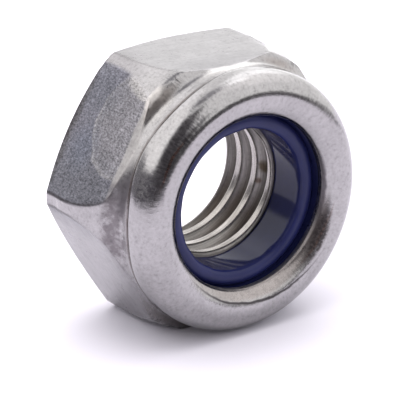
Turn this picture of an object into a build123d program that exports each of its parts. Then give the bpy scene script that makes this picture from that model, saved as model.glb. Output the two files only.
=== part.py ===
from build123d import *
import os
from math import cos, radians, tan

# All sizes are in millimetres, and heights are measured from the bearing face.
# The nut lies on one of its flats, with its thread along Y and its insert end facing -Y.
# The origin is the centre of the bearing face, on the axis of the thread.

# Hexagon
across_flats = 13.0
corner_loss = 0.176
bearing_face_inset = 0.75
bearing_chamfer_angle = 30
barrel_start_height = 2.2
barrel_drop = 0.36
shoulder_rise = 0.75

# Thread, which is left at its core diameter
thread_diameter = 8.0
thread_pitch = 1.25
countersink_width = 0.2
countersink_slope = 45
inner_chamfer = 0.28

# Collar, rolled in over the insert
nut_height = 7.64
neck_length = 0.1
neck_inset = 0.03
seam_width = 0.1
seam_depth = 0.06
collar_inset = 0.05
collar_land = 0.39
collar_round = 1.1
collar_wall = 1.0
lip_clearance = 0.32
lip_drop = 0.46
lip_edge_thickness = 0.28
lip_roll_height = 0.8

# Insert
seat_height = 4.5
insert_bite = 0.5
insert_clearance = 0.02
mouth_chamfer = 0.18
bead_edge_radius = 0.18
bead_drop = 0.2
bead_width = 0.62
groove_depth = 0.25
groove_inset = 0.02

# Radii of the outside, which follow the hexagon
flat_radius = across_flats / 2
corner_radius = flat_radius / cos(radians(30)) - corner_loss
shoulder_radius = corner_radius - barrel_drop
bearing_face_radius = flat_radius - bearing_face_inset
collar_radius = flat_radius - collar_inset
neck_radius = collar_radius - neck_inset
crown_radius = collar_radius - collar_round

# Heights of the outside, worked down from the top of the collar
round_height = nut_height - collar_round
seam_top_height = round_height - collar_land
seam_foot_height = seam_top_height - seam_width
shoulder_foot_height = seam_foot_height - neck_length
shoulder_height = shoulder_foot_height - shoulder_rise
bearing_chamfer_height = (corner_radius - bearing_face_radius) * tan(radians(bearing_chamfer_angle))

# Inside of the nut
core_radius = thread_diameter / 2 - 0.5413 * thread_pitch
countersink_radius = thread_diameter / 2 + countersink_width
countersink_depth = (countersink_radius - core_radius) * tan(radians(countersink_slope))
seat_radius = collar_radius - collar_wall
lip_radius = thread_diameter / 2 + lip_clearance
lip_height = nut_height - lip_drop
underlip_height = lip_height - lip_edge_thickness
roll_height = underlip_height - lip_roll_height

# Insert, which fills its seat
insert_radius = seat_radius - insert_clearance
insert_bore_radius = thread_diameter / 2 - insert_bite
insert_wall_height = roll_height - insert_clearance
insert_roof_height = underlip_height - insert_clearance
bead_radius = insert_bore_radius + bead_width
bead_height = insert_roof_height - bead_drop
groove_radius = lip_radius - groove_inset
groove_height = bead_height - groove_depth
undercut_radius = (lip_radius + insert_radius) / 2

# In the half section, x is the distance from the thread's axis and y the height above the bearing face
half_section = Plane(origin=(0, 0, 0), x_dir=(1, 0, 0), z_dir=(0, 0, -1))
bearing_plane = Plane(origin=(0, 0, 0), x_dir=(1, 0, 0), z_dir=(0, -1, 0))

with BuildPart() as nut_body:
    with BuildSketch(half_section):
        with BuildLine():
            # From the thread's countersink, round the bearing face and up the corners of the hexagon
            Polyline(
                (core_radius, countersink_depth),
                (countersink_radius, 0),
                (bearing_face_radius, 0),
                (corner_radius, bearing_chamfer_height),
                (corner_radius, barrel_start_height),
            )
            TangentArc(
                (corner_radius, barrel_start_height),
                (shoulder_radius, shoulder_height),
                tangent=(0, 1),
            )
            # Up the hollow of the shoulder, past the fine seam at the foot of the collar and round to its crown
            TangentArc(
                (neck_radius, shoulder_foot_height),
                (shoulder_radius, shoulder_height),
                tangent=(0, -1),
            )
            Polyline(
                (neck_radius, shoulder_foot_height),
                (neck_radius, seam_foot_height),
                (neck_radius - seam_depth, (seam_foot_height + seam_top_height) / 2),
                (collar_radius, seam_top_height),
                (collar_radius, round_height),
            )
            TangentArc((collar_radius, round_height), (crown_radius, nut_height), tangent=(0, 1))
            # Down the rolled lip, round its edge and back under it to the wall of the seat
            TangentArc((crown_radius, nut_height), (lip_radius, lip_height), tangent=(-1, 0))
            Line((lip_radius, lip_height), (lip_radius, underlip_height))
            TangentArc((seat_radius, roll_height), (lip_radius, underlip_height), tangent=(0, 1))
            Polyline(
                (seat_radius, roll_height),
                (seat_radius, seat_height),
                (core_radius + inner_chamfer, seat_height),
                (core_radius, seat_height - inner_chamfer),
                (core_radius, countersink_depth),
            )
        make_face()
    revolve(axis=Axis.Y)
    # Six flats are cut on the turned blank, with one of them down
    with BuildSketch(bearing_plane):
        RegularPolygon(flat_radius, side_count=6, major_radius=False)
    extrude(amount=nut_height, mode=Mode.INTERSECT)

nut_body.part.label = "nut_body"

# The ring stands on the floor of its seat, with its outer edge under the rolled lip.
# The lip pressed a groove into its face, and the rest of the face stands as a bead round the bore.
with BuildPart() as nylon_insert:
    with BuildSketch(half_section) as ring_section:
        with BuildLine():
            TangentArc((insert_radius, insert_wall_height), (undercut_radius, insert_roof_height), tangent=(0, 1))
            Polyline(
                (undercut_radius, insert_roof_height),
                (groove_radius, groove_height),
                (bead_radius, bead_height),
                (insert_bore_radius, bead_height),
                (insert_bore_radius, seat_height),
                (insert_radius, seat_height),
                (insert_radius, insert_wall_height),
            )
        make_face()
        bead_corners = ring_section.vertices().group_by(Axis.Y)[-2]
        fillet(bead_corners.sort_by(Axis.X)[-1], bead_edge_radius)
        bead_corners = ring_section.vertices().group_by(Axis.Y)[-2]
        chamfer(bead_corners.sort_by(Axis.X)[0], mouth_chamfer)
    revolve(axis=Axis.Y)

nylon_insert.part.label = "nylon_insert"

os.makedirs("parts", exist_ok=True)
export_step(nut_body.part, "parts/nut_body.step")
export_step(nylon_insert.part, "parts/nylon_insert.step")
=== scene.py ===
import math

import bmesh
import bpy
import numpy as np
from mathutils import Euler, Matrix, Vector, noise


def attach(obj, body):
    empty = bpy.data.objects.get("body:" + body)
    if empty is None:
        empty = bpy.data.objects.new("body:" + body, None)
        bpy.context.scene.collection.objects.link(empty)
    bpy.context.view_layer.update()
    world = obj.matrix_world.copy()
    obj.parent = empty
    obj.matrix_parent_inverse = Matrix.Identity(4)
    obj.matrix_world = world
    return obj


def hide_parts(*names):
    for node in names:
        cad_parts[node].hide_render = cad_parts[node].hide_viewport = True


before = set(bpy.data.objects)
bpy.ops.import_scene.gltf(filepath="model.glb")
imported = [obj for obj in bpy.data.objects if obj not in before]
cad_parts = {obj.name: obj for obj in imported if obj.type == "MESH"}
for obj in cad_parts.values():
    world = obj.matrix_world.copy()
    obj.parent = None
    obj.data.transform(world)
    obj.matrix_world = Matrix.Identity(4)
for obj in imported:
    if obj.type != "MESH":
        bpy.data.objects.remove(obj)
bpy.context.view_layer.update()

mm = 0.001
scene = bpy.context.scene
scene.view_settings.view_transform = "Standard"   # plain colours, so hex values come out as they are written


def addNode(tree, kind, settings=None, links=None):
    # Adds one node, sets its own settings, then fills or links its inputs by name or number.
    node = tree.nodes.new(kind)
    for name, value in (settings or {}).items():
        setattr(node, name, value)
    for socket, value in (links or {}).items():
        if isinstance(value, bpy.types.NodeSocket):
            tree.links.new(value, node.inputs[socket])
        else:
            node.inputs[socket].default_value = value
    return node


def hexColour(text):
    # sRGB hex to the linear colour that a shader wants.
    parts = [int(text[i:i + 2], 16) / 255 for i in (1, 3, 5)]
    linear = [c / 12.92 if c <= 0.04045 else ((c + 0.055) / 1.055) ** 2.4 for c in parts]
    return (*linear, 1.0)


# Camera

cameraSetup = {
    "position": (-63.799, -89.755, 41.292),   # mm
    "turn": (68.505, -0.283, -36.284),        # degrees
    "lens": 215.06,
    "sensor": 36,
}

cameraData = bpy.data.cameras.new("photoCamera")
cameraData.sensor_width = cameraSetup["sensor"]
cameraData.lens = cameraSetup["lens"]
cameraData.clip_start = mm
camera = bpy.data.objects.new("photoCamera", cameraData)
camera.location = Vector(cameraSetup["position"]) * mm
camera.rotation_euler = Euler([math.radians(a) for a in cameraSetup["turn"]])
scene.collection.objects.link(camera)
scene.camera = camera
print("camera placed")


# Nut body

nut = {
    "columns": 432,            # 72 to each side of the hexagon
    "acrossFlats": 13.0,
    "cornerLoss": 0.1765,
    "bearingInset": 0.75,
    "chamferSlope": 30,
    "barrelStart": 2.2,
    "barrelDrop": 0.36,
    "shoulderRise": 0.75,
    "shoulderHollow": 2.5,     # 1 would be a plain cone
    "height": 7.64,
    "neckLength": 0.1,
    "neckInset": 0.03,
    "seamRoom": 0.1,           # between the neck and the collar
    "seamWidth": 0.14,         # the seam itself, which runs a little into the neck
    "seamDepth": 0.03,
    "seamLift": 0.22,          # how far the seam rises over the corners
    "collarInset": 0.05,
    "collarLand": 0.39,
    "collarRound": 1.1,
    "collarWall": 1.0,
    "lipRadius": 4.32,
    "lipDrop": 0.46,
    "lipEdge": 0.28,
    "lipRoll": 0.8,
    "seat": 4.5,
    "edgeRound": 0.07,         # softened edge between a flat and the turned surface
    "flatRoll": 0.12,          # how far the flats roll over beside the collar
    "flatRollLength": 0.9,
    "flatFade": 12.0,          # how sharply a flat's look ends at its edges, for each mm
    "pitch": 1.25,
    "threadSize": 8.0,
    "threadTurn": 0.23,        # where the thread starts, in turns
    "countersink": 4.2,
    "innerChamfer": 0.04,
    "crestShare": 0.19,        # half the crest's width, in turns
    "rootRound": 0.12,         # how softly the thread's roots and crests are rounded
    "crestRound": 0.2,
    "sinkRound": 0.05,
    "rowsPerTurn": 16,
}

flatRadius = nut["acrossFlats"] / 2
cornerRadius = flatRadius / math.cos(math.radians(30)) - nut["cornerLoss"]
shoulderRadius = cornerRadius - nut["barrelDrop"]
bearingRadius = flatRadius - nut["bearingInset"]
collarRadius = flatRadius - nut["collarInset"]
neckRadius = collarRadius - nut["neckInset"]
crownRadius = collarRadius - nut["collarRound"]
roundHeight = nut["height"] - nut["collarRound"]
seamTop = roundHeight - nut["collarLand"]
seamFoot = seamTop - nut["seamWidth"]
shoulderFoot = seamTop - nut["seamRoom"] - nut["neckLength"]
shoulderHeight = shoulderFoot - nut["shoulderRise"]
lipHeight = nut["height"] - nut["lipDrop"]
underlipHeight = lipHeight - nut["lipEdge"]
seatRadius = collarRadius - nut["collarWall"]
rollHeight = underlipHeight - nut["lipRoll"]
coreRadius = nut["threadSize"] / 2 - 0.5413 * nut["pitch"]     # as the standard has it


def arcPoints(start, end, tangent, count):
    # Points along the arc that leaves start along tangent and reaches end, start left out.
    (x0, y0), (x1, y1), (tx, ty) = start, end, tangent
    dx, dy = x1 - x0, y1 - y0
    nx, ny = -ty, tx
    radius = (dx * dx + dy * dy) / (2 * (dx * nx + dy * ny))
    cx, cy = x0 + nx * radius, y0 + ny * radius
    a0, a1 = math.atan2(y0 - cy, x0 - cx), math.atan2(y1 - cy, x1 - cx)
    turn = (a1 - a0 + math.pi) % (2 * math.pi) - math.pi
    return [(cx + abs(radius) * math.cos(a0 + turn * i / count),
             cy + abs(radius) * math.sin(a0 + turn * i / count)) for i in range(1, count + 1)]


def nutRows():
    # One row for each ring of the nut, in order round its section. A row has a radius and a height,
    # the shares of the flat's lower and upper ends that its height follows, the twist of the thread,
    # the height it is cut off at, its zone (0 turned, 1 outside with the hexagon, 2 bore), how far it
    # rises with the seam, and how much of the seam's dirt it holds.
    rows = []

    def add(radius, height, low=0.0, high=0.0, twist=0.0, ceiling=nut["height"], zone=0, lift=0.0, dirt=0.0):
        rows.append((radius, height, low, high, twist, ceiling, zone, lift, dirt))

    for radius in np.linspace(nut["countersink"], bearingRadius, 8)[:-1]:
        add(radius, 0)
    for share in (0, 0.2, 0.4, 0.6, 0.8):
        add(0, 0, low=share, zone=1)
    for offset in (-0.08, -0.04, 0, 0.04, 0.08, 0.14):
        add(0, offset, low=1, zone=1)
    for share in np.linspace(0.14, 0.86, 22):
        add(0, 0, low=1 - share, high=share, zone=1)
    for offset in (-0.14, -0.08, -0.04, 0):
        add(0, offset, high=1, zone=1)
    for share in (0.03, 0.07, 0.13, 0.22, 0.34, 0.47, 0.6, 0.71, 0.79, 0.83, 0.86, 0.9, 0.95):
        add(0, share * shoulderFoot, high=1 - share, zone=1)
    for share in (0, 0.3, 0.6, 0.85):
        add(neckRadius, shoulderFoot + share * (seamFoot - shoulderFoot), lift=share, dirt=share * 0.4)
    add(neckRadius - 0.01, seamFoot, lift=1, dirt=0.8)
    add(neckRadius - nut["seamDepth"] * 0.7, seamFoot + 0.02, lift=1, dirt=1)
    add(neckRadius - nut["seamDepth"], (seamFoot + seamTop) / 2, lift=1, dirt=1)
    add(collarRadius - nut["seamDepth"] * 0.8, seamTop - 0.02, lift=1, dirt=1)
    add(collarRadius - 0.015, seamTop + 0.02, lift=1, dirt=0.6)
    for share in (0.15, 0.4, 0.7, 1):
        add(collarRadius, seamTop + share * (roundHeight - seamTop), lift=1 - share)
    for radius, height in arcPoints((collarRadius, roundHeight), (crownRadius, nut["height"]), (0, 1), 20):
        add(radius, height)
    inward = arcPoints((crownRadius, nut["height"]), (nut["lipRadius"], lipHeight), (-1, 0), 13)
    for radius, height in inward[:-1]:
        add(radius, height)
    for outward, down in ((0.05, -0.02), (0.02, 0.01), (0.005, 0.045), (0.0, 0.09)):
        add(nut["lipRadius"] + outward, lipHeight - down)
    add(nut["lipRadius"], underlipHeight + 0.03)
    add(nut["lipRadius"], underlipHeight)
    under = arcPoints((seatRadius, rollHeight), (nut["lipRadius"], underlipHeight), (0, 1), 6)
    for radius, height in reversed(under[:-1]):
        add(radius, height)
    for height in np.linspace(rollHeight, nut["seat"], 4):
        add(seatRadius, height)
    for radius in np.linspace(seatRadius, coreRadius + nut["innerChamfer"], 4)[1:-1]:
        add(radius, nut["seat"])
    step = nut["pitch"] / nut["rowsPerTurn"]
    for i in range(math.ceil((nut["seat"] + nut["pitch"]) / step), -1, -1):
        add(0, i * step, twist=1, ceiling=nut["seat"], zone=2)
    return rows


def nutTree(sizes):
    tree = bpy.data.node_groups.new("turnedHexNut", "GeometryNodeTree")
    face = tree.interface
    face.new_socket("Geometry", in_out="INPUT", socket_type="NodeSocketGeometry")
    kinds = {"Columns": "NodeSocketInt", "Steel": "NodeSocketMaterial"}
    for name in sizes:
        face.new_socket(name, in_out="INPUT", socket_type=kinds.get(name, "NodeSocketFloat"))
    face.new_socket("Geometry", in_out="OUTPUT", socket_type="NodeSocketGeometry")
    given = addNode(tree, "NodeGroupInput").outputs

    # A flat grid, whose columns go round the axis and whose rows follow the section
    rowCount = addNode(tree, "GeometryNodeAttributeDomainSize", {"component": "MESH"},
                       {"Geometry": given["Geometry"]}).outputs["Point Count"]
    sides = {}
    for name, source, more in (("acrossCount", given["Columns"], 1.0), ("acrossSpan", given["Columns"], 0.0),
                               ("alongSpan", rowCount, -1.0)):
        sides[name] = addNode(tree, "ShaderNodeMath", {"operation": "ADD"}, {0: source, 1: more}).outputs[0]
    grid = addNode(tree, "GeometryNodeMeshGrid", links={
        "Size X": sides["acrossSpan"], "Size Y": sides["alongSpan"], "Vertices X": sides["acrossCount"],
        "Vertices Y": rowCount}).outputs["Mesh"]
    spot = addNode(tree, "GeometryNodeInputPosition").outputs[0]
    axes = addNode(tree, "ShaderNodeSeparateXYZ", links={0: spot}).outputs
    got = {name: given[name] for name in given.keys()}
    got.update(sides, gridX=axes["X"], gridY=axes["Y"])

    # Each step is a name, an operation and its inputs, which are numbers or earlier names
    placeSteps = [
        ("column", "MULTIPLY_ADD", "acrossSpan", 0.5, "gridX"),
        ("wholeColumn", "ROUND", "column"),
        ("row", "MULTIPLY_ADD", "alongSpan", 0.5, "gridY"),
        ("wholeRow", "ROUND", "row"),
        ("turn", "DIVIDE", "wholeColumn", "acrossSpan"),
        ("angle", "MULTIPLY", "turn", math.tau),
        ("sine", "SINE", "angle"),
        ("cosine", "COSINE", "angle"),
    ]
    endSteps = [
        # The hexagon's side in this column, and the heights at which the turned form meets it
        ("fromMiddle", "PINGPONG", "angle", math.pi / 6),
        ("wedge", "COSINE", "fromMiddle"),
        ("flatSide", "DIVIDE", "Flat Radius", "wedge"),
        ("side", "MINIMUM", "flatSide", "Corner Radius"),
        ("pastBearing", "SUBTRACT", "side", "Bearing Radius"),
        ("lowEnd", "DIVIDE", "pastBearing", "Chamfer Run"),
        ("drop", "SUBTRACT", "Corner Radius", "side"),
        ("twoBend", "MULTIPLY", "Barrel Bend", 2.0),
        ("bendLeft", "SUBTRACT", "twoBend", "drop"),
        ("dropBend", "MULTIPLY", "drop", "bendLeft"),
        ("barrelRise", "SQRT", "dropBend"),
        ("barrelEnd", "ADD", "Barrel Start", "barrelRise"),
        ("pastNeck", "SUBTRACT", "side", "Neck Radius"),
        ("widthShare", "DIVIDE", "pastNeck", "Shoulder Width"),
        ("hollowRoot", "DIVIDE", 1.0, "Shoulder Hollow"),
        ("riseShare", "POWER", "widthShare", "hollowRoot"),
        ("hollowDrop", "MULTIPLY", "riseShare", "Shoulder Rise"),
        ("hollowEnd", "SUBTRACT", "Shoulder Foot", "hollowDrop"),
        ("highEnd", "MINIMUM", "barrelEnd", "hollowEnd"),
        ("sixTurns", "MULTIPLY", "angle", 6.0),
        ("wave", "COSINE", "sixTurns"),
        ("cornerShare", "MULTIPLY_ADD", "wave", -0.5, 0.5),
        ("seamRise", "MULTIPLY", "cornerShare", "Seam Lift"),
        ("rowRise", "MULTIPLY", "seamRise", "rowLift"),
        ("lowPart", "MULTIPLY_ADD", "rowLow", "lowEnd", "rowHeight"),
        ("highPart", "MULTIPLY_ADD", "rowHigh", "highEnd", "lowPart"),
        ("follow", "ADD", "highPart", "rowRise"),
        ("rise", "MULTIPLY", "Pitch", "turn"),
        ("twist", "MULTIPLY", "rowTwist", "rise"),
        ("untwisted", "SUBTRACT", "follow", "twist"),
        ("capped", "MINIMUM", "untwisted", "rowCeiling"),
        ("height", "MAXIMUM", "capped", 0.0),
        # Outside: bearing chamfer, barrel and shoulder, cut by the six flats
        ("chamfer", "MULTIPLY_ADD", "height", "Chamfer Run", "Bearing Radius"),
        ("pastStart", "SUBTRACT", "height", "Barrel Start"),
        ("aboveStart", "MAXIMUM", "pastStart", 0.0),
        ("aboveSquared", "MULTIPLY", "aboveStart", "aboveStart"),
        ("bendSquared", "MULTIPLY", "Barrel Bend", "Barrel Bend"),
        ("bendRest", "SUBTRACT", "bendSquared", "aboveSquared"),
        ("bendReach", "SQRT", "bendRest"),
        ("bendCentre", "SUBTRACT", "Corner Radius", "Barrel Bend"),
        ("barrel", "ADD", "bendCentre", "bendReach"),
        ("belowFoot", "SUBTRACT", "Shoulder Foot", "height"),
        ("underFoot", "MAXIMUM", "belowFoot", 0.0),
        ("footShare", "DIVIDE", "underFoot", "Shoulder Rise"),
        ("hollowShare", "POWER", "footShare", "Shoulder Hollow"),
        ("hollow", "MULTIPLY_ADD", "hollowShare", "Shoulder Width", "Neck Radius"),
        ("lowerForm", "MINIMUM", "chamfer", "barrel"),
        ("turned", "SMOOTH_MIN", "lowerForm", "hollow", "Edge Round"),
        ("pastRoll", "SUBTRACT", "height", "Roll Start"),
        ("rollRun", "MAXIMUM", "pastRoll", 0.0),
        ("rollSquared", "MULTIPLY", "rollRun", "rollRun"),
        ("rollDrop", "MULTIPLY", "rollSquared", "Roll Bend"),
        ("rolled", "SUBTRACT", "Flat Radius", "rollDrop"),
        ("flat", "DIVIDE", "rolled", "wedge"),
        ("outside", "SMOOTH_MIN", "flat", "turned", "Edge Round"),
        ("above", "SUBTRACT", "turned", "flat"),
        ("aboveShare", "MULTIPLY_ADD", "above", nut["flatFade"], 0.5),
        ("shareFloor", "MAXIMUM", "aboveShare", 0.0),
        ("shareTop", "MINIMUM", "shareFloor", 1.0),
        ("isOutside", "COMPARE", "rowZone", 1.0, 0.1),
        ("flatShare", "MULTIPLY", "shareTop", "isOutside"),
        # Bore: the thread's ridges, opened by the countersink and by a chamfer under the insert
        ("heightTurns", "DIVIDE", "height", "Pitch"),
        ("along", "ADD", "heightTurns", "turn"),
        ("started", "ADD", "along", "Thread Turn"),
        ("phase", "PINGPONG", "started", 0.5),
        ("fromCrest", "SUBTRACT", "phase", "Crest Share"),
        ("fromCrestLength", "MULTIPLY", "fromCrest", "Pitch"),
        ("ridge", "MULTIPLY_ADD", "fromCrestLength", math.tan(math.radians(60)), "Core Radius"),
        ("ridgeFoot", "SMOOTH_MIN", "ridge", "Thread Radius", nut["rootRound"]),
        ("thread", "SMOOTH_MAX", "ridgeFoot", "Core Radius", nut["crestRound"]),
        ("sink", "SUBTRACT", "Countersink", "height"),
        ("innerStart", "ADD", "Core Radius", "Inner Chamfer"),
        ("innerRise", "ADD", "innerStart", "height"),
        ("inner", "SUBTRACT", "innerRise", "Seat"),
        ("sunk", "SMOOTH_MAX", "thread", "sink", nut["sinkRound"]),
        ("bore", "SMOOTH_MAX", "sunk", "inner", nut["sinkRound"]),
    ]
    for steps in (placeSteps, endSteps):
        if steps is endSteps:
            # What the row says, read from the section's own points
            for attribute, names in (("place", ("rowRadius", "rowHeight", "rowCeiling")),
                                     ("follow", ("rowLow", "rowHigh", "rowTwist")),
                                     ("zone", ("rowZone", "rowLift", "rowDirt"))):
                source = addNode(tree, "GeometryNodeInputNamedAttribute", {"data_type": "FLOAT_VECTOR"},
                                 {"Name": attribute})
                taken = addNode(tree, "GeometryNodeSampleIndex", {
                    "data_type": "FLOAT_VECTOR", "domain": "POINT"}, {
                    "Geometry": given["Geometry"], "Value": source.outputs["Attribute"],
                    "Index": got["wholeRow"]})
                parts = addNode(tree, "ShaderNodeSeparateXYZ", links={0: taken.outputs["Value"]}).outputs
                got.update(zip(names, parts))
        for name, operation, *inputs in steps:
            node = addNode(tree, "ShaderNodeMath", {"operation": operation}, {
                i: got[value] if isinstance(value, str) else value for i, value in enumerate(inputs)})
            got[name] = node.outputs[0]

    pick = addNode(tree, "GeometryNodeIndexSwitch", {"data_type": "FLOAT"})
    pick.index_switch_items.new()
    for socket, name in enumerate(("rowZone", "rowRadius", "outside", "bore")):
        tree.links.new(got[name], pick.inputs[socket])
    for name, source, other in (("placeX", pick.outputs[0], got["sine"]), ("placeY", got["height"], -1.0),
                                ("placeZ", pick.outputs[0], got["cosine"])):
        got[name] = addNode(tree, "ShaderNodeMath", {"operation": "MULTIPLY"}, {
            0: source, 1: other}).outputs[0]
    place = addNode(tree, "ShaderNodeCombineXYZ", links={
        "X": got["placeX"], "Y": got["placeY"], "Z": got["placeZ"]}).outputs[0]
    metres = addNode(tree, "ShaderNodeVectorMath", {"operation": "SCALE"}, {
        0: place, "Scale": mm}).outputs[0]
    marked = grid
    for name, value in (("flatShare", got["flatShare"]), ("seamDirt", got["rowDirt"])):
        marked = addNode(tree, "GeometryNodeStoreNamedAttribute", {"data_type": "FLOAT", "domain": "POINT"}, {
            "Geometry": marked, "Name": name, "Value": value}).outputs[0]
    shaped = addNode(tree, "GeometryNodeSetPosition", links={
        "Geometry": marked, "Position": metres}).outputs[0]
    closed = addNode(tree, "GeometryNodeMergeByDistance", links={"Geometry": shaped, "Distance": 0.002 * mm})
    smooth = addNode(tree, "GeometryNodeSetShadeSmooth", links={"Geometry": closed.outputs[0]}).outputs[0]
    real = addNode(tree, "GeometryNodeRealizeInstances", links={"Geometry": smooth}).outputs[0]
    finished = addNode(tree, "GeometryNodeSetMaterial", links={"Geometry": real, "Material": given["Steel"]})
    addNode(tree, "NodeGroupOutput", links={"Geometry": finished.outputs[0]})
    return tree


def plainMesh(piece):
    # Takes what the modifiers make as the piece's own mesh, and removes them.
    graph = bpy.context.evaluated_depsgraph_get()
    mesh = bpy.data.meshes.new_from_object(piece.evaluated_get(graph))
    piece.modifiers.clear()
    piece.data = mesh
    mesh.name = piece.name


def faceOut(mesh):
    shell = bmesh.new()
    shell.from_mesh(mesh)
    bmesh.ops.remove_doubles(shell, verts=shell.verts, dist=0.001 * mm)
    bmesh.ops.dissolve_degenerate(shell, edges=shell.edges, dist=0.0005 * mm)
    bmesh.ops.recalc_face_normals(shell, faces=shell.faces)
    openEdges = sum(1 for e in shell.edges if len(e.link_faces) != 2)
    shell.to_mesh(mesh)
    shell.free()
    print(mesh.name, "faces", len(mesh.polygons), "open edges", openEdges)


wear = {
    "waviness": 0.012,         # mm, how far the formed surface wanders
    "wavinessWidth": 2.2,      # mm
    "roughness": 0.004,
    "roughnessWidth": 0.45,
    "start": 5.6,              # radius outside which the nut is worn, and how softly that sets in
    "fade": 0.5,
    "footFade": 0.1,
    "lipLean": 0.09,           # how much further the rolled lip comes in at the bottom
    # Dents: angle round the axis in degrees, radius and height in mm, width and depth in mm
    "dents": [
        (-77.0, 6.6, 5.05, 0.32, 0.07), (-80.5, 6.75, 4.75, 0.22, 0.05), (-70.0, 6.45, 6.9, 0.45, 0.03),
        (-33.0, 7.3, 1.1, 0.4, 0.05), (-91.0, 7.3, 1.5, 0.35, 0.06), (-89.0, 7.3, 2.9, 0.3, 0.04),
        (28.0, 7.2, 3.6, 0.4, 0.05), (-31.5, 7.15, 4.1, 0.3, 0.03), (148.0, 7.3, 2.0, 0.5, 0.05),
        (90.0, 7.3, 1.8, 0.45, 0.06), (87.0, 7.1, 4.2, 0.35, 0.05), (10.0, 6.1, 0.3, 0.4, 0.05),
    ],
}


def wearDown(mesh):
    # Moves points a little towards the axis, never outwards, so the nut stays inside its own sizes.
    count = len(mesh.vertices)
    points = np.empty(count * 3)
    mesh.vertices.foreach_get("co", points)
    points = points.reshape(count, 3) / mm
    radius = np.hypot(points[:, 0], points[:, 2])
    height = -points[:, 1]
    outer = radius > wear["start"]
    cut = np.zeros(count)
    for i in np.nonzero(outer)[0]:
        spot = Vector(points[i])
        cut[i] = (wear["waviness"] * (1 + noise.noise(spot / wear["wavinessWidth"])) / 2
                  + wear["roughness"] * (1 + noise.noise(spot / wear["roughnessWidth"])) / 2)
    for angle, r, h, width, depth in wear["dents"]:
        centre = np.array([r * math.sin(math.radians(angle)), -h, r * math.cos(math.radians(angle))])
        gap = np.linalg.norm(points - centre, axis=1) / width
        cut += np.where(outer, depth * np.exp(-gap ** 4), 0)
    fade = np.clip((radius - wear["start"]) / wear["fade"], 0, 1) * np.clip(height / wear["footFade"], 0, 1)
    scale = 1 - cut * fade / np.maximum(radius, 1)
    # The lip was rolled in a little further at the bottom
    onLip = (height > underlipHeight - 0.05) & (radius < crownRadius)
    below = np.clip(-points[:, 2] / np.maximum(radius, 1), 0, 1)
    share = np.clip((crownRadius - radius) / (crownRadius - nut["lipRadius"]), 0, 1)
    scale = np.where(onLip, 1 - wear["lipLean"] * share * below / np.maximum(radius, 1), scale)
    points[:, 0] *= scale
    points[:, 2] *= scale
    mesh.vertices.foreach_set("co", (points * mm).ravel())
    mesh.update()


def makeNut(material):
    rows = nutRows()
    section = bpy.data.meshes.new("nutSection")
    section.from_pydata([(0, 0, 0)] * len(rows), [], [])
    values = np.array(rows, np.float32)
    for name, columns in (("place", [0, 1, 5]), ("follow", [2, 3, 4]), ("zone", [6, 7, 8])):
        attribute = section.attributes.new(name, "FLOAT_VECTOR", "POINT")
        attribute.data.foreach_set("vector", values[:, columns].ravel())
    piece = bpy.data.objects.new("steelNut", section)
    scene.collection.objects.link(piece)
    barrelRun = shoulderHeight - nut["barrelStart"]
    sizes = {
        "Columns": nut["columns"], "Flat Radius": flatRadius, "Corner Radius": cornerRadius,
        "Bearing Radius": bearingRadius, "Chamfer Run": 1 / math.tan(math.radians(nut["chamferSlope"])),
        "Barrel Start": nut["barrelStart"],
        "Barrel Bend": (barrelRun ** 2 + nut["barrelDrop"] ** 2) / 2 / nut["barrelDrop"],
        "Shoulder Foot": shoulderFoot, "Shoulder Rise": nut["shoulderRise"],
        "Shoulder Width": shoulderRadius - neckRadius, "Shoulder Hollow": nut["shoulderHollow"],
        "Neck Radius": neckRadius, "Seam Lift": nut["seamLift"],
        "Edge Round": nut["edgeRound"], "Roll Start": shoulderFoot - nut["flatRollLength"],
        "Roll Bend": nut["flatRoll"] / nut["flatRollLength"] ** 2, "Pitch": nut["pitch"],
        "Thread Turn": nut["threadTurn"], "Crest Share": nut["crestShare"], "Core Radius": coreRadius,
        "Thread Radius": nut["threadSize"] / 2,
        "Countersink": nut["countersink"], "Seat": nut["seat"], "Inner Chamfer": nut["innerChamfer"],
        "Steel": material,
    }
    modifier = piece.modifiers.new("turnedHexNut", "NODES")
    modifier.node_group = nutTree(sizes)
    for item in modifier.node_group.interface.items_tree:
        if item.in_out == "INPUT" and item.name in sizes:
            modifier[item.identifier] = sizes[item.name]
    plainMesh(piece)
    wearDown(piece.data)
    faceOut(piece.data)
    return piece


# Steel

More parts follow.
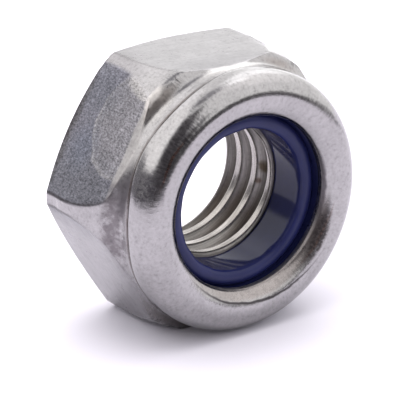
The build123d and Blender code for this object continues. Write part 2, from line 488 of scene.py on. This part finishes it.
steel = {
    "colour": "#9c9a9b",
    "flatColour": "#918f91",
    "roughness": 0.17,         # the turned and rolled faces
    "flatRoughness": 0.3,      # the pressed flats
    "seamDirt": "#544b49",
    "seamDirtShare": (0.45, 0.9),    # how much of it lies there, and between which values of its pattern
    "seamDirtSpan": (0.3, 0.6),
    "seamDirtSide": 80,        # degrees, the side of the nut on which it lies
    "pitTone": 0.86,           # the fine dark pits, which lie below these values of the grain
    "pitSpan": (0.3, 0.42),
    "crestColour": "#9b9794",
    "rootColour": "#a8a4a1",
    "crestRoughness": 0.25,
    "rootRoughness": 0.48,     # the thread's flanks and roots, as the tap left them
    # Widths of the patterns in mm. The grain, the streaks, the turning lines and the specks are finer on the
    # real nut, about 0.03 mm wide, and are drawn as coarse as they need to be to show.
    "grain": 0.17,             # the tumbled skin's grain
    "mottle": 2.2,             # cloudy light and dark places
    "cloud": 0.7,              # smaller ones on the flats
    "streakWidth": 0.1,        # the drawing lines that run over the collar
    "streakLength": 0.7,
    "streakRadius": 5.8,       # about the collar's, where those widths hold
    "turning": 0.09,           # the lines round the turned faces
    "skin": 0.085,             # the specks in the dark skin
    "scratch": 0.5,            # three times the width of the drag lines on the flats
    "wobble": 10 / 9,          # how the marks' edges wander
    "wander": (5.0, 0.25, 0.5),    # how far they do, in degrees and mm
    "gaps": (0.36, 0.56),      # where in its pattern a mark breaks up
    # How much each pattern lightens and darkens the steel, and lifts it in mm
    "tones": {"grain": 0.55, "mottle": 0.4, "streak": 0.24, "cloud": 0.45, "skin": 2.7,
              "turning": 1.2, "scratch": 0.6},
    "rises": {"grain": 0.005, "streak": 0.004, "turning": 0.0012},
    "roughSpread": 0.14,
    "calm": 0.45,              # how much less of the grain the thread has
    # Marks, each laid over the ones before it: angle, radius and height of the middle, half sizes in
    # degrees and mm, edge softness, colour, strength, roughness, kind and lean. A half size of 50 lets a
    # mark run through. A square mark has straight sides, a flat one stays on the six flats, the skin is
    # grainy, one inside stays in the skin, a line follows the flats' edges, and grain, cloud or streak
    # break a mark up. The lean takes it nearer to the axis or away from it, in mm for each degree.
    "marks": [
        # The duller far corner
        ((-31, 7.3, 1.6), (9, 50, 1.7), 0.7, "#7b787b", 0.6, 0.25, "", 0),
        # The pressed flat with its dark skin: a paler field with a thin rim, and darker bluish places
        ((-60, 6.5, 2.74), (30.3, 50, 2.33), 0.035, "#7a7982", 1.0, 0.42, "flat square skin", 0),
        ((-51.5, 6.5, 4.45), (22, 50, 2.3), 0.03, "#b0adae", 0.85, 0.4, "inside", 0),
        ((-50.5, 6.5, 4.52), (21.7, 50, 2.27), 0.06, "#868489", 1.0, 0.42, "inside", 0),
        ((-82, 6.5, 2.6), (15, 50, 3.4), 0.6, "#696a70", 0.6, 0.42, "flat", 0),
        ((-66, 6.5, 2.1), (9, 50, 0.8), 0.7, "#686c78", 0.6, 0.42, "flat", 0),
        ((-42, 6.5, 1.7), (9, 50, 1.4), 0.7, "#686a72", 0.55, 0.42, "flat", 0),
        ((-60, 6.5, 0.55), (30.3, 50, 0.36), 0.35, "#555354", 0.7, 0.45, "flat square", 0),
        ((-50, 6.5, 6.2), (26, 50, 1.13), 0.07, "#a4a1a1", 0.95, 0.34, "flat square", 0),
        ((-35, 7.1, 4.75), (4.6, 50, 1.5), 0.2, "#b4b1b1", 0.95, 0.3, "flat", 0),
        # A duller top flat beside the collar
        ((0, 6.6, 4.9), (24, 0.4, 0.9), 0.6, "#838184", 0.5, 0.32, "flat", 0),
        # Painted highlights on the rolled edge over the top flat and on the collar beside it, and a dark line
        # on the collar
        ((-2, 6.45, 5.8), (14, 0.3, 0.25), 0.5, "#c6c3c2", 0.7, 0.25, "", 0),
        ((4, 6.2, 7.2), (18, 0.2, 0.3), 0.6, "#b4b1b2", 0.6, 0.2, "", 0),
        ((43, 5.72, 7.5), (20, 0.1, 1.5), 0.6, "#4f4c4f", 0.75, 0.25, "streak", 0.0075),
        # Dark lines along the flat's own edges
        ((-60, 6.4, 0.25), (32, 0.5, 0.4), 0.4, "#3a3435", 0.8, 0.4, "", 0),
        ((-66, 6.9, 1.9), (29, 1.2, 3.6), 0.25, "#2d292a", 0.85, 0.45, "line", 0),
        # Brown stains and darker marks on the collar and the lip, and painted shade on the lip's inner edge
        ((-56, 5.82, 7.53), (12, 0.07, 1.5), 0.5, "#6e4836", 0.85, 0.35, "", 0),
        ((-57, 5.9, 7.42), (18, 0.35, 0.36), 0.2, "#4b484d", 0.65, 0.24, "square streak", 0),
        ((-40, 5.85, 7.45), (11, 0.28, 0.3), 0.3, "#4b484d", 0.7, 0.24, "streak", 0),
        ((-71, 6.25, 6.95), (7.5, 0.38, 0.6), 0.4, "#3e3c41", 0.9, 0.4, "grain", 0),
        ((-67, 6.5, 6.35), (9, 50, 0.22), 0.5, "#454348", 0.7, 0.45, "grain", 0),
        ((118, 4.6, 7.36), (19, 0.16, 1.5), 0.5, "#3f3a3b", 0.7, 0.3, "", 0),
        ((122, 4.74, 7.43), (16, 0.07, 1.5), 0.6, "#684837", 0.6, 0.4, "", -0.006),
        # Painted shade: a dark band along the lip's inner edge, over the insert
        ((96, 4.36, 7.2), (42, 0.11, 0.25), 0.6, "#454146", 0.85, 0.35, "", 0),
        ((165, 4.5, 7.3), (60, 0.3, 0.4), 0.4, "#857a76", 0.5, 0.35, "", 0),
        ((-180, 4.88, 7.52), (42, 0.065, 1.5), 0.5, "#3a3639", 0.9, 0.4, "", -0.0065),
        ((123, 4.72, 7.4), (17, 0.3, 1.5), 0.3, "#3d3839", 0.9, 0.4, "grain", 0),
        # The hollows of the shoulder, some deepened with painted shade and edged with a painted shadow line,
        # and the neck
        ((-39, 6.75, 5.5), (9, 0.45, 0.4), 0.5, "#c9c4bf", 0.3, 0.5, "", 0),
        # Painted shade: a brownish grey that deepens the hollow beside this corner
        ((-36, 6.75, 5.45), (10, 0.25, 0.25), 0.5, "#6c625d", 0.6, 0.4, "", 0),
        ((-38, 6.95, 5.2), (7, 0.16, 0.2), 0.5, "#d6d1ce", 0.8, 0.6, "", 0),
        # Painted shadow: a dark line along the edge where the flat meets the hollow
        ((-43, 6.8, 5.5), (9, 0.7, 0.5), 0.3, "#2d292a", 0.35, 0.45, "line", 0),
        ((27, 6.75, 5.55), (9, 0.35, 0.22), 0.6, "#786a62", 0.4, 0.35, "", 0),
        ((-93, 6.75, 5.55), (18, 0.7, 0.66), 0.4, "#686266", 0.75, 0.45, "cloud", 0),
        ((-76, 6.45, 5.85), (10, 0.6, 0.34), 0.6, "#4f4b4f", 0.8, 0.45, "", 0),
        # Painted shade in the hollow at the bottom, beside the floor
        ((-163, 6.6, 5.6), (28, 0.6, 0.6), 0.6, "#5b534f", 0.7, 0.4, "", 0),
        # The browner side of the bore, and rust in the thread
        ((138, 3.75, 2.4), (24, 0.36, 2.6), 0.5, "#7f7268", 0.5, 0.42, "", 0),
        ((91, 3.4, 3.6), (5.5, 1.2, 0.12), 0.6, "#5a4a2c", 0.75, 0.6, "", 0),
        ((102, 3.4, 3.4), (2.4, 1.2, 0.1), 0.6, "#5f3e21", 0.6, 0.6, "", 0),
        # Painted shade on the step beside the insert
        ((0, 3.7, 4.5), (400, 0.3, 0.3), 0.2, "#4a4647", 0.8, 0.5, "square", 0),
    ],
}


def layOver(tree, share, under, over):
    # Lays one look over another. A look is a colour and a roughness.
    colour = addNode(tree, "ShaderNodeMix", {"data_type": "RGBA"}, {0: share, 6: under[0], 7: over[0]})
    roughness = addNode(tree, "ShaderNodeMix", {"data_type": "FLOAT"}, {0: share, 2: under[1], 3: over[1]})
    return colour.outputs[2], roughness.outputs[0]


def steelMaterial():
    # Stainless steel, cold formed and tumbled: a grey with a touch of lilac, finely grained and streaked,
    # with reflections whose edges break up in the grain, dull stains, and painted highlights and painted
    # shade in places.
    material = bpy.data.materials.new("tumbledStainlessSteel")
    material.use_nodes = True
    tree = material.node_tree
    shader = tree.nodes["Principled BSDF"]
    shader.inputs["Metallic"].default_value = 1
    spot = addNode(tree, "ShaderNodeTexCoord").outputs["Object"]
    millimetres = addNode(tree, "ShaderNodeVectorMath", {"operation": "SCALE"}, {
        0: spot, "Scale": 1000}).outputs[0]
    axes = addNode(tree, "ShaderNodeSeparateXYZ", links={0: millimetres}).outputs
    got = {"x": axes[0], "y": axes[1], "z": axes[2]}
    for name in ("flatShare", "seamDirt"):
        got[name] = addNode(tree, "ShaderNodeAttribute", {"attribute_name": name}).outputs["Fac"]
    for name, operation, *inputs in (
            ("height", "MULTIPLY", "y", -1.0),
            ("xSquared", "MULTIPLY", "x", "x"),
            ("bothSquared", "MULTIPLY_ADD", "z", "z", "xSquared"),
            ("radius", "SQRT", "bothSquared"),
            ("turn", "ARCTAN2", "x", "z"),
            ("angle", "DEGREES", "turn"),
            ("roundX", "DIVIDE", "x", "radius"),
            ("roundZ", "DIVIDE", "z", "radius"),
            ("streakX", "MULTIPLY", "roundX", steel["streakRadius"] / steel["streakWidth"]),
            ("streakZ", "MULTIPLY", "roundZ", steel["streakRadius"] / steel["streakWidth"]),
            ("inward", "SUBTRACT", "radius", "height"),
            ("streakAlong", "DIVIDE", "inward", steel["streakLength"]),
            ("lineX", "MULTIPLY", "roundX", 2.0),
            ("lineZ", "MULTIPLY", "roundZ", 2.0),
            ("heightAndRadius", "ADD", "height", "radius"),
            ("lineAlong", "DIVIDE", "heightAndRadius", steel["turning"]),
            # The specks in the skin are a little longer along the axis
            ("skinY", "MULTIPLY", "y", 0.6),
            # The drag lines run round the nut, slant a little and are ten times as long as wide
            ("threeY", "MULTIPLY", "y", 3.0),
            ("scratchX", "MULTIPLY", "x", 0.3),
            ("scratchZ", "MULTIPLY", "z", 0.3),
            ("scratchY", "MULTIPLY_ADD", "x", 0.6, "threeY"),
            ("fourFlat", "MULTIPLY", "flatShare", 4.0),
            ("flatRest", "SUBTRACT", 4.0, "fourFlat"),
            ("flatEdge", "MULTIPLY", "flatShare", "flatRest"),
            ("seamTurn", "ADD", "turn", math.radians(steel["seamDirtSide"])),
            ("seamSide", "COSINE", "seamTurn")):
        node = addNode(tree, "ShaderNodeMath", {"operation": operation}, {
            i: got[value] if isinstance(value, str) else value for i, value in enumerate(inputs)})
        got[name] = node.outputs[0]
    for name, parts in (("polar", ("angle", "radius", "height")),
                        ("streakSpot", ("streakX", "streakAlong", "streakZ")),
                        ("lineSpot", ("lineX", "lineAlong", "lineZ")), ("skinSpot", ("x", "skinY", "z")),
                        ("scratchSpot", ("scratchX", "scratchY", "scratchZ"))):
        got[name] = addNode(tree, "ShaderNodeCombineXYZ", links={
            number: got[part] for number, part in enumerate(parts)}).outputs[0]
    for name, source, scale, detail, rough in (
            ("grain", millimetres, 1 / steel["grain"], 3, 0.6),
            ("mottle", millimetres, 1 / steel["mottle"], 5, 0.62),
            ("streak", got["streakSpot"], 1.0, 3, 0.6),
            ("turning", got["lineSpot"], 1.0, 2, 0.5),
            ("cloud", millimetres, 1 / steel["cloud"], 4, 0.65),
            ("wobble", millimetres, 1 / steel["wobble"], 3, 0.6),
            ("skin", got["skinSpot"], 1 / steel["skin"], 2, 0.7),
            ("scratch", got["scratchSpot"], 1 / steel["scratch"], 4, 0.7)):
        texture = addNode(tree, "ShaderNodeTexNoise", links={
            "Vector": source, "Scale": scale, "Detail": detail, "Roughness": rough})
        got[name] = texture.outputs["Fac"]
        if name == "wobble":
            got["wanderWay"] = texture.outputs["Color"]
    for name in ("grain", "cloud", "streak"):
        got[name + "Gaps"] = addNode(tree, "ShaderNodeMapRange", links={
            "Value": got[name], "From Min": steel["gaps"][0], "From Max": steel["gaps"][1]}).outputs[0]

    # The marks' edges wander a little
    centred = addNode(tree, "ShaderNodeVectorMath", {"operation": "SUBTRACT"}, {
        0: got["wanderWay"], 1: (0.5, 0.5, 0.5)}).outputs[0]
    shift = addNode(tree, "ShaderNodeVectorMath", {"operation": "MULTIPLY"}, {
        0: centred, 1: steel["wander"]}).outputs[0]
    polar = addNode(tree, "ShaderNodeVectorMath", {"operation": "ADD"}, {
        0: got["polar"], 1: shift}).outputs[0]
    look = layOver(tree, got["flatShare"], (hexColour(steel["colour"]), steel["roughness"]),
                   (hexColour(steel["flatColour"]), steel["flatRoughness"]))
    # The thread: shinier crests, and duller flanks and roots
    inBore = addNode(tree, "ShaderNodeMapRange", links={
        "Value": got["radius"], "From Min": nut["countersink"] + 0.1,
        "From Max": nut["countersink"] + 0.02}).outputs[0]
    inRoot = addNode(tree, "ShaderNodeMapRange", {"interpolation_type": "SMOOTHSTEP"}, {
        "Value": got["radius"], "From Min": coreRadius, "From Max": coreRadius + 0.06}).outputs[0]
    thread = layOver(tree, inRoot, (hexColour(steel["crestColour"]), steel["crestRoughness"]),
                     (hexColour(steel["rootColour"]), steel["rootRoughness"]))
    look = layOver(tree, inBore, look, thread)
    got["inBore"] = inBore
    for middle, size, edge, tint, strength, dullness, kind, lean in steel["marks"]:
        kinds = kind.split()
        fromMiddle = addNode(tree, "ShaderNodeVectorMath", {"operation": "SUBTRACT"}, {
            0: polar, 1: middle}).outputs[0]
        turned = addNode(tree, "ShaderNodeVectorMath", {"operation": "WRAP"}, {
            0: fromMiddle, 1: (180, 100, 100), 2: (-180, -100, -100)}).outputs[0]
        if lean:
            offAngle = addNode(tree, "ShaderNodeSeparateXYZ", links={0: turned}).outputs[0]
            offRadius = addNode(tree, "ShaderNodeMath", {"operation": "MULTIPLY"}, {0: offAngle, 1: lean})
            leaning = addNode(tree, "ShaderNodeCombineXYZ", links={1: offRadius.outputs[0]}).outputs[0]
            turned = addNode(tree, "ShaderNodeVectorMath", {"operation": "SUBTRACT"}, {
                0: turned, 1: leaning}).outputs[0]
        shares = addNode(tree, "ShaderNodeVectorMath", {"operation": "DIVIDE"}, {
            0: turned, 1: size}).outputs[0]
        if "square" in kinds:
            apart = addNode(tree, "ShaderNodeVectorMath", {"operation": "ABSOLUTE"}, {0: shares}).outputs[0]
            parts = addNode(tree, "ShaderNodeSeparateXYZ", links={0: apart}).outputs
            reach = parts[0]
            for part in parts[1:]:
                reach = addNode(tree, "ShaderNodeMath", {"operation": "MAXIMUM"}, {
                    0: reach, 1: part}).outputs[0]
        else:
            reach = addNode(tree, "ShaderNodeVectorMath", {"operation": "LENGTH"}, {
                0: shares}).outputs["Value"]
        cover = addNode(tree, "ShaderNodeMapRange", {"interpolation_type": "SMOOTHSTEP"}, {
            "Value": reach, "From Min": 1 + edge, "From Max": 1 - edge, "To Min": 0.0,
            "To Max": strength}).outputs[0]
        for word, source in (("flat", "flatShare"), ("inside", "skinShare"), ("line", "flatEdge"),
                             ("grain", "grainGaps"), ("cloud", "cloudGaps"), ("streak", "streakGaps")):
            if word in kinds:
                cover = addNode(tree, "ShaderNodeMath", {"operation": "MULTIPLY"}, {
                    0: cover, 1: got[source]}).outputs[0]
        if "skin" in kinds:
            got["skinShare"] = cover
        look = layOver(tree, cover, look, (hexColour(tint), dullness))

    # Dirt in the seam, and the fine dark pits of the tumbled skin
    dirt = addNode(tree, "ShaderNodeMapRange", links={
        "Value": got["wobble"], "From Min": steel["seamDirtSpan"][0], "From Max": steel["seamDirtSpan"][1],
        "To Min": steel["seamDirtShare"][0], "To Max": steel["seamDirtShare"][1]}).outputs[0]
    side = addNode(tree, "ShaderNodeMapRange", {"interpolation_type": "SMOOTHSTEP"}, {
        "Value": got["seamSide"], "From Min": 0.2, "From Max": 0.8, "To Min": 0.1}).outputs[0]
    dirtHere = addNode(tree, "ShaderNodeMath", {"operation": "MULTIPLY"}, {0: dirt, 1: side}).outputs[0]
    inSeam = addNode(tree, "ShaderNodeMath", {"operation": "MULTIPLY"}, {
        0: got["seamDirt"], 1: dirtHere}).outputs[0]
    colour = addNode(tree, "ShaderNodeMix", {"data_type": "RGBA"}, {
        0: inSeam, 6: look[0], 7: hexColour(steel["seamDirt"])}).outputs[2]
    got["pits"] = addNode(tree, "ShaderNodeMapRange", links={
        "Value": got["grain"], "From Min": steel["pitSpan"][0], "From Max": steel["pitSpan"][1],
        "To Min": steel["pitTone"]}).outputs[0]
    got["marked"] = look[1]
    tones, rises, spread = steel["tones"], steel["rises"], steel["roughSpread"]
    steps = [("calm", "MULTIPLY_ADD", "inBore", -steel["calm"], 1.0)]
    for name, share in (("grain", "calm"), ("cloud", "flatShare"), ("skin", "skinShare"),
                        ("turning", "inBore"), ("scratch", "flatShare")):
        steps += [(name + "Off", "SUBTRACT", name, 0.5), (name + "Here", "MULTIPLY", name + "Off", share),
                  (name + "Tone", "MULTIPLY_ADD", name + "Here", tones[name], 1.0)]
    for name, operation, *inputs in (
            *steps,
            ("mottleTone", "MULTIPLY_ADD", "mottle", tones["mottle"], 1 - tones["mottle"] / 2),
            ("streakTone", "MULTIPLY_ADD", "streak", tones["streak"], 1 - tones["streak"] / 2),
            ("grainRough", "MULTIPLY_ADD", "grain", spread, -spread / 2),
            ("mottleRough", "MULTIPLY_ADD", "mottle", spread, -spread / 2),
            ("rough1", "ADD", "marked", "grainRough"),
            ("rough", "ADD", "rough1", "mottleRough"),
            ("grainRise", "MULTIPLY", "grain", rises["grain"]),
            ("streakRise", "MULTIPLY_ADD", "streak", rises["streak"], "grainRise"),
            ("calmRise", "MULTIPLY", "streakRise", "calm"),
            ("rise", "MULTIPLY_ADD", "turning", rises["turning"], "calmRise")):
        node = addNode(tree, "ShaderNodeMath", {"operation": operation}, {
            i: got[value] if isinstance(value, str) else value for i, value in enumerate(inputs)})
        got[name] = node.outputs[0]
    tone = got["grainTone"]
    for name in ("mottleTone", "pits", "cloudTone", "skinTone", "scratchTone", "turningTone", "streakTone"):
        tone = addNode(tree, "ShaderNodeMath", {"operation": "MULTIPLY"}, {0: tone, 1: got[name]}).outputs[0]
    toned = addNode(tree, "ShaderNodeVectorMath", {"operation": "SCALE"}, {
        0: colour, "Scale": tone}).outputs[0]
    bump = addNode(tree, "ShaderNodeBump", links={"Distance": mm, "Height": got["rise"]}).outputs[0]
    for name, source in (("Base Color", toned), ("Roughness", got["rough"]), ("Normal", bump)):
        tree.links.new(source, shader.inputs[name])
    return material


# Nylon ring

ring = {
    "columns": 288,
    "bore": 3.5,
    "clearance": 0.02,
    "deepColour": "#1c1f46",
    "paleColour": "#282d5d",
    "cloud": 1 / 0.7,          # mm, width of the faint cloudiness
    "boreTone": 0.8,           # the bore's tone beside the bead's
    "boreRoughness": 0.06,
    "beadRoughness": 0.25,
    # How uneven the edge between bead and bore is: where it is, how far that reaches, waves for each mm, mm
    "mouth": {"inside": 3.9, "height": 6.52, "reach": 0.2, "waves": 1.4, "wear": 0.05},
    "underRoom": 0.03,         # mm, further from the lip's underside, which starts at this radius
    "underStart": 4.8,
    "toneSpan": (6.2, 6.5),    # heights over which the bore's tone and gloss turn into the bead's
    "glossSpan": (6.3, 6.6),
    # Section of the bead from the groove under the lip to the bore: radius and height in mm
    "bead": [(4.72, 6.64), (4.55, 6.51), (4.42, 6.45), (4.34, 6.44), (4.28, 6.48), (4.22, 6.55),
             (4.15, 6.615), (4.05, 6.66), (3.93, 6.68), (3.8, 6.675), (3.68, 6.65), (3.58, 6.595),
             (3.52, 6.515), (3.5, 6.42)],
}


def spinMesh(name, section, columns):
    # A closed ring from a closed section of (radius, height) points.
    count = len(section)
    points, faces = [], []
    for c in range(columns):
        angle = math.tau * c / columns
        for radius, height in section:
            points.append((radius * math.sin(angle) * mm, -height * mm, radius * math.cos(angle) * mm))
    for c in range(columns):
        d = (c + 1) % columns
        for r in range(count):
            s = (r + 1) % count
            faces.append((c * count + r, c * count + s, d * count + s, d * count + r))
    mesh = bpy.data.meshes.new(name)
    mesh.from_pydata(points, [], faces)
    mesh.shade_smooth()
    return mesh


def makeRing(material):
    outer = seatRadius - ring["clearance"]
    wallTop = rollHeight - ring["clearance"]
    roof = underlipHeight - ring["clearance"]
    section = [(outer, h) for h in np.linspace(nut["seat"], wallTop, 4)]
    under = arcPoints((outer, wallTop), (nut["lipRadius"], roof), (0, 1), 12)
    section += [(r, h - ring["underRoom"]) for r, h in under if r > ring["underStart"]]
    section += ring["bead"]
    section += [(ring["bore"], h) for h in np.linspace(ring["bead"][-1][1], nut["seat"], 14)[1:]]
    section += [(r, nut["seat"]) for r in np.linspace(ring["bore"], outer, 6)[1:-1]]
    mesh = spinMesh("nylonRing", section, ring["columns"])
    mouth = ring["mouth"]
    for vertex in mesh.vertices:
        x, y, z = vertex.co / mm
        radius = math.hypot(x, z)
        if radius < mouth["inside"]:
            share = max(0, 1 - abs(y + mouth["height"]) / mouth["reach"])
            push = mouth["wear"] * share * noise.noise(Vector((x, z, 0)) * mouth["waves"])
            vertex.co = Vector((x * (1 + push / radius), y, z * (1 + push / radius))) * mm
    mesh.materials.append(material)
    faceOut(mesh)
    piece = bpy.data.objects.new("nylonRing", mesh)
    scene.collection.objects.link(piece)
    return piece


def nylonMaterial():
    # Nylon, turned and moulded: deep blue and glossy, with a faint waviness in its reflections.
    material = bpy.data.materials.new("mouldedBlueNylon")
    material.use_nodes = True
    tree = material.node_tree
    shader = tree.nodes["Principled BSDF"]
    shader.inputs["IOR"].default_value = 1.53
    shader.inputs["Specular IOR Level"].default_value = 0.19     # a skin duller than clean nylon's
    spot = addNode(tree, "ShaderNodeTexCoord").outputs["Object"]
    axes = addNode(tree, "ShaderNodeSeparateXYZ", links={0: spot}).outputs
    cloud = addNode(tree, "ShaderNodeTexNoise", links={
        "Vector": spot, "Scale": 1 / (ring["cloud"] * mm), "Detail": 3}).outputs["Fac"]
    colour = addNode(tree, "ShaderNodeMix", {"data_type": "RGBA"}, {
        0: cloud, 6: hexColour(ring["deepColour"]), 7: hexColour(ring["paleColour"])}).outputs[2]
    # The pressed bead is duller and lighter than the smooth bore
    turns = {}
    for name, span, low, high in (("dull", "glossSpan", ring["boreRoughness"], ring["beadRoughness"]),
                                  ("depth", "toneSpan", ring["boreTone"], 1.0)):
        turns[name] = addNode(tree, "ShaderNodeMapRange", links={
            "Value": axes["Y"], "From Min": -ring[span][0] * mm, "From Max": -ring[span][1] * mm,
            "To Min": low, "To Max": high}).outputs[0]
    rough = addNode(tree, "ShaderNodeMath", {"operation": "MULTIPLY_ADD"}, {
        0: cloud, 1: 0.1, 2: turns["dull"]}).outputs[0]
    colour = addNode(tree, "ShaderNodeVectorMath", {"operation": "SCALE"}, {
        0: colour, "Scale": turns["depth"]}).outputs[0]
    bump = addNode(tree, "ShaderNodeBump", links={"Distance": 0.006 * mm, "Height": cloud}).outputs[0]
    for name, source in (("Base Color", colour), ("Roughness", rough), ("Normal", bump)):
        tree.links.new(source, shader.inputs[name])
    return material


steelNut = makeNut(steelMaterial())
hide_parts("nut_body")
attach(steelNut, "root")
print("nut body done")

nylonRing = makeRing(nylonMaterial())
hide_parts("nylon_insert")
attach(nylonRing, "root")
print("nylon ring done")


# Floor and light

studio = {
    "floorColour": "#dcd9e4",
    "floorSides": (-400, 400, -50, 400),   # mm, x then y
    "lampPlace": (36, 85, 385),            # mm, a wide soft lamp overhead
    "lampSize": 560,
    "lampPower": 1.75,
    "lampColour": (1.0, 0.985, 0.94),
    "strength": 1.25,
    "fill": (1.28, 1.27, 1.26),
    # Soft panels round the table, each over the ones before it: azimuth from +Y towards +X and elevation
    # from the horizon, in degrees, for the middle, the half sizes and the soft edges, then the colour.
    "panels": [
        ((-62, 52), (48, 37), (12, 7), (1.58, 1.56, 1.54)),
        ((-3, 42), (13, 16), (7, 6), (1.72, 1.7, 1.7)),
        ((40, -2), (14, 16), (8, 6), (1.7, 1.69, 1.7)),
        ((54, 44), (14, 22), (7, 7), (2.15, 2.15, 2.15)),
        ((0, 90), (180, 13), (0.1, 6), (0.5, 0.49, 0.52)),
        ((85, 65), (16, 7), (7, 4), (2.4, 2.4, 2.4)),
        ((-126, 84), (50, 8), (20, 4), (0.33, 0.32, 0.34)),
        ((-146, -12), (26, 78), (9, 8), (0.13, 0.12, 0.13)),
        ((-78, -36), (54, 55), (9, 4), (0.28, 0.27, 0.29)),
        ((162, -43), (28, 47), (6, 3), (0.1, 0.095, 0.1)),
        ((-177, -2), (15, 24), (5, 5), (0.12, 0.115, 0.12)),
        ((140, -30), (12, 30), (5, 4), (0.16, 0.15, 0.16)),
        ((116, -30), (14, 29), (5, 3), (0.22, 0.21, 0.22)),
    ],
}


def paperMaterial():
    # Matt white paper: bright and even, with the shadow's cool tone.
    material = bpy.data.materials.new("mattWhitePaper")
    material.use_nodes = True
    shader = material.node_tree.nodes["Principled BSDF"]
    shader.inputs["Base Color"].default_value = hexColour(studio["floorColour"])
    shader.inputs["Roughness"].default_value = 0.9
    return material


def makeWorld():
    world = bpy.data.worlds.new("studio")
    world.use_nodes = True
    tree = world.node_tree
    background = tree.nodes["Background"]
    way = addNode(tree, "ShaderNodeTexCoord").outputs["Generated"]
    axes = addNode(tree, "ShaderNodeSeparateXYZ", links={0: way}).outputs
    got = {"x": axes[0], "y": axes[1], "z": axes[2]}
    for name, operation, *inputs in (
            ("turn", "ARCTAN2", "x", "y"), ("azimuth", "DEGREES", "turn"),
            ("lift", "ARCSINE", "z"), ("elevation", "DEGREES", "lift")):
        node = addNode(tree, "ShaderNodeMath", {"operation": operation}, {
            i: got[value] if isinstance(value, str) else value for i, value in enumerate(inputs)})
        got[name] = node.outputs[0]
    light = (*studio["fill"], 1)
    for middles, halves, softs, colour in studio["panels"]:
        shares = []
        for name, middle, half, soft in zip(("azimuth", "elevation"), middles, halves, softs):
            off = addNode(tree, "ShaderNodeMath", {"operation": "SUBTRACT"}, {0: got[name], 1: middle})
            gap = addNode(tree, "ShaderNodeMath", {"operation": "PINGPONG"}, {0: off.outputs[0], 1: 180.0})
            shares.append(addNode(tree, "ShaderNodeMapRange", {"interpolation_type": "SMOOTHSTEP"}, {
                "Value": gap.outputs[0], "From Min": half + soft, "From Max": half - soft}).outputs[0])
        both = addNode(tree, "ShaderNodeMath", {"operation": "MULTIPLY"}, {
            0: shares[0], 1: shares[1]}).outputs[0]
        light = addNode(tree, "ShaderNodeMix", {"data_type": "RGBA"}, {
            0: both, 6: light, 7: (*colour, 1)}).outputs[2]
    # The backdrop is plain white where it is looked at directly
    seen = addNode(tree, "ShaderNodeLightPath").outputs["Is Camera Ray"]
    shown = addNode(tree, "ShaderNodeMix", {"data_type": "RGBA"}, {
        0: seen, 6: light, 7: (1, 1, 1, 1)}).outputs[2]
    tree.links.new(shown, background.inputs["Color"])
    background.inputs["Strength"].default_value = studio["strength"]
    return world


floorMesh = bpy.data.meshes.new("floor")
left, right, front, back = studio["floorSides"]
floorMesh.from_pydata([Vector((x, y, -flatRadius)) * mm for x, y in (
    (left, front), (right, front), (right, back), (left, back))], [], [(0, 1, 2, 3)])
floor = bpy.data.objects.new("floor", floorMesh)
floorMesh.materials.append(paperMaterial())
scene.collection.objects.link(floor)

lampData = bpy.data.lights.new("overheadLamp", "AREA")
lampData.shape = "DISK"
lampData.size = studio["lampSize"] * mm
lampData.energy = studio["lampPower"]
lampData.color = studio["lampColour"]
lamp = bpy.data.objects.new("overheadLamp", lampData)
lamp.location = Vector(studio["lampPlace"]) * mm
lamp.rotation_euler = lamp.location.to_track_quat("Z", "Y").to_euler()
lamp.visible_glossy = False          # the panels alone show in the steel
scene.collection.objects.link(lamp)
scene.world = makeWorld()
print("floor and light done")
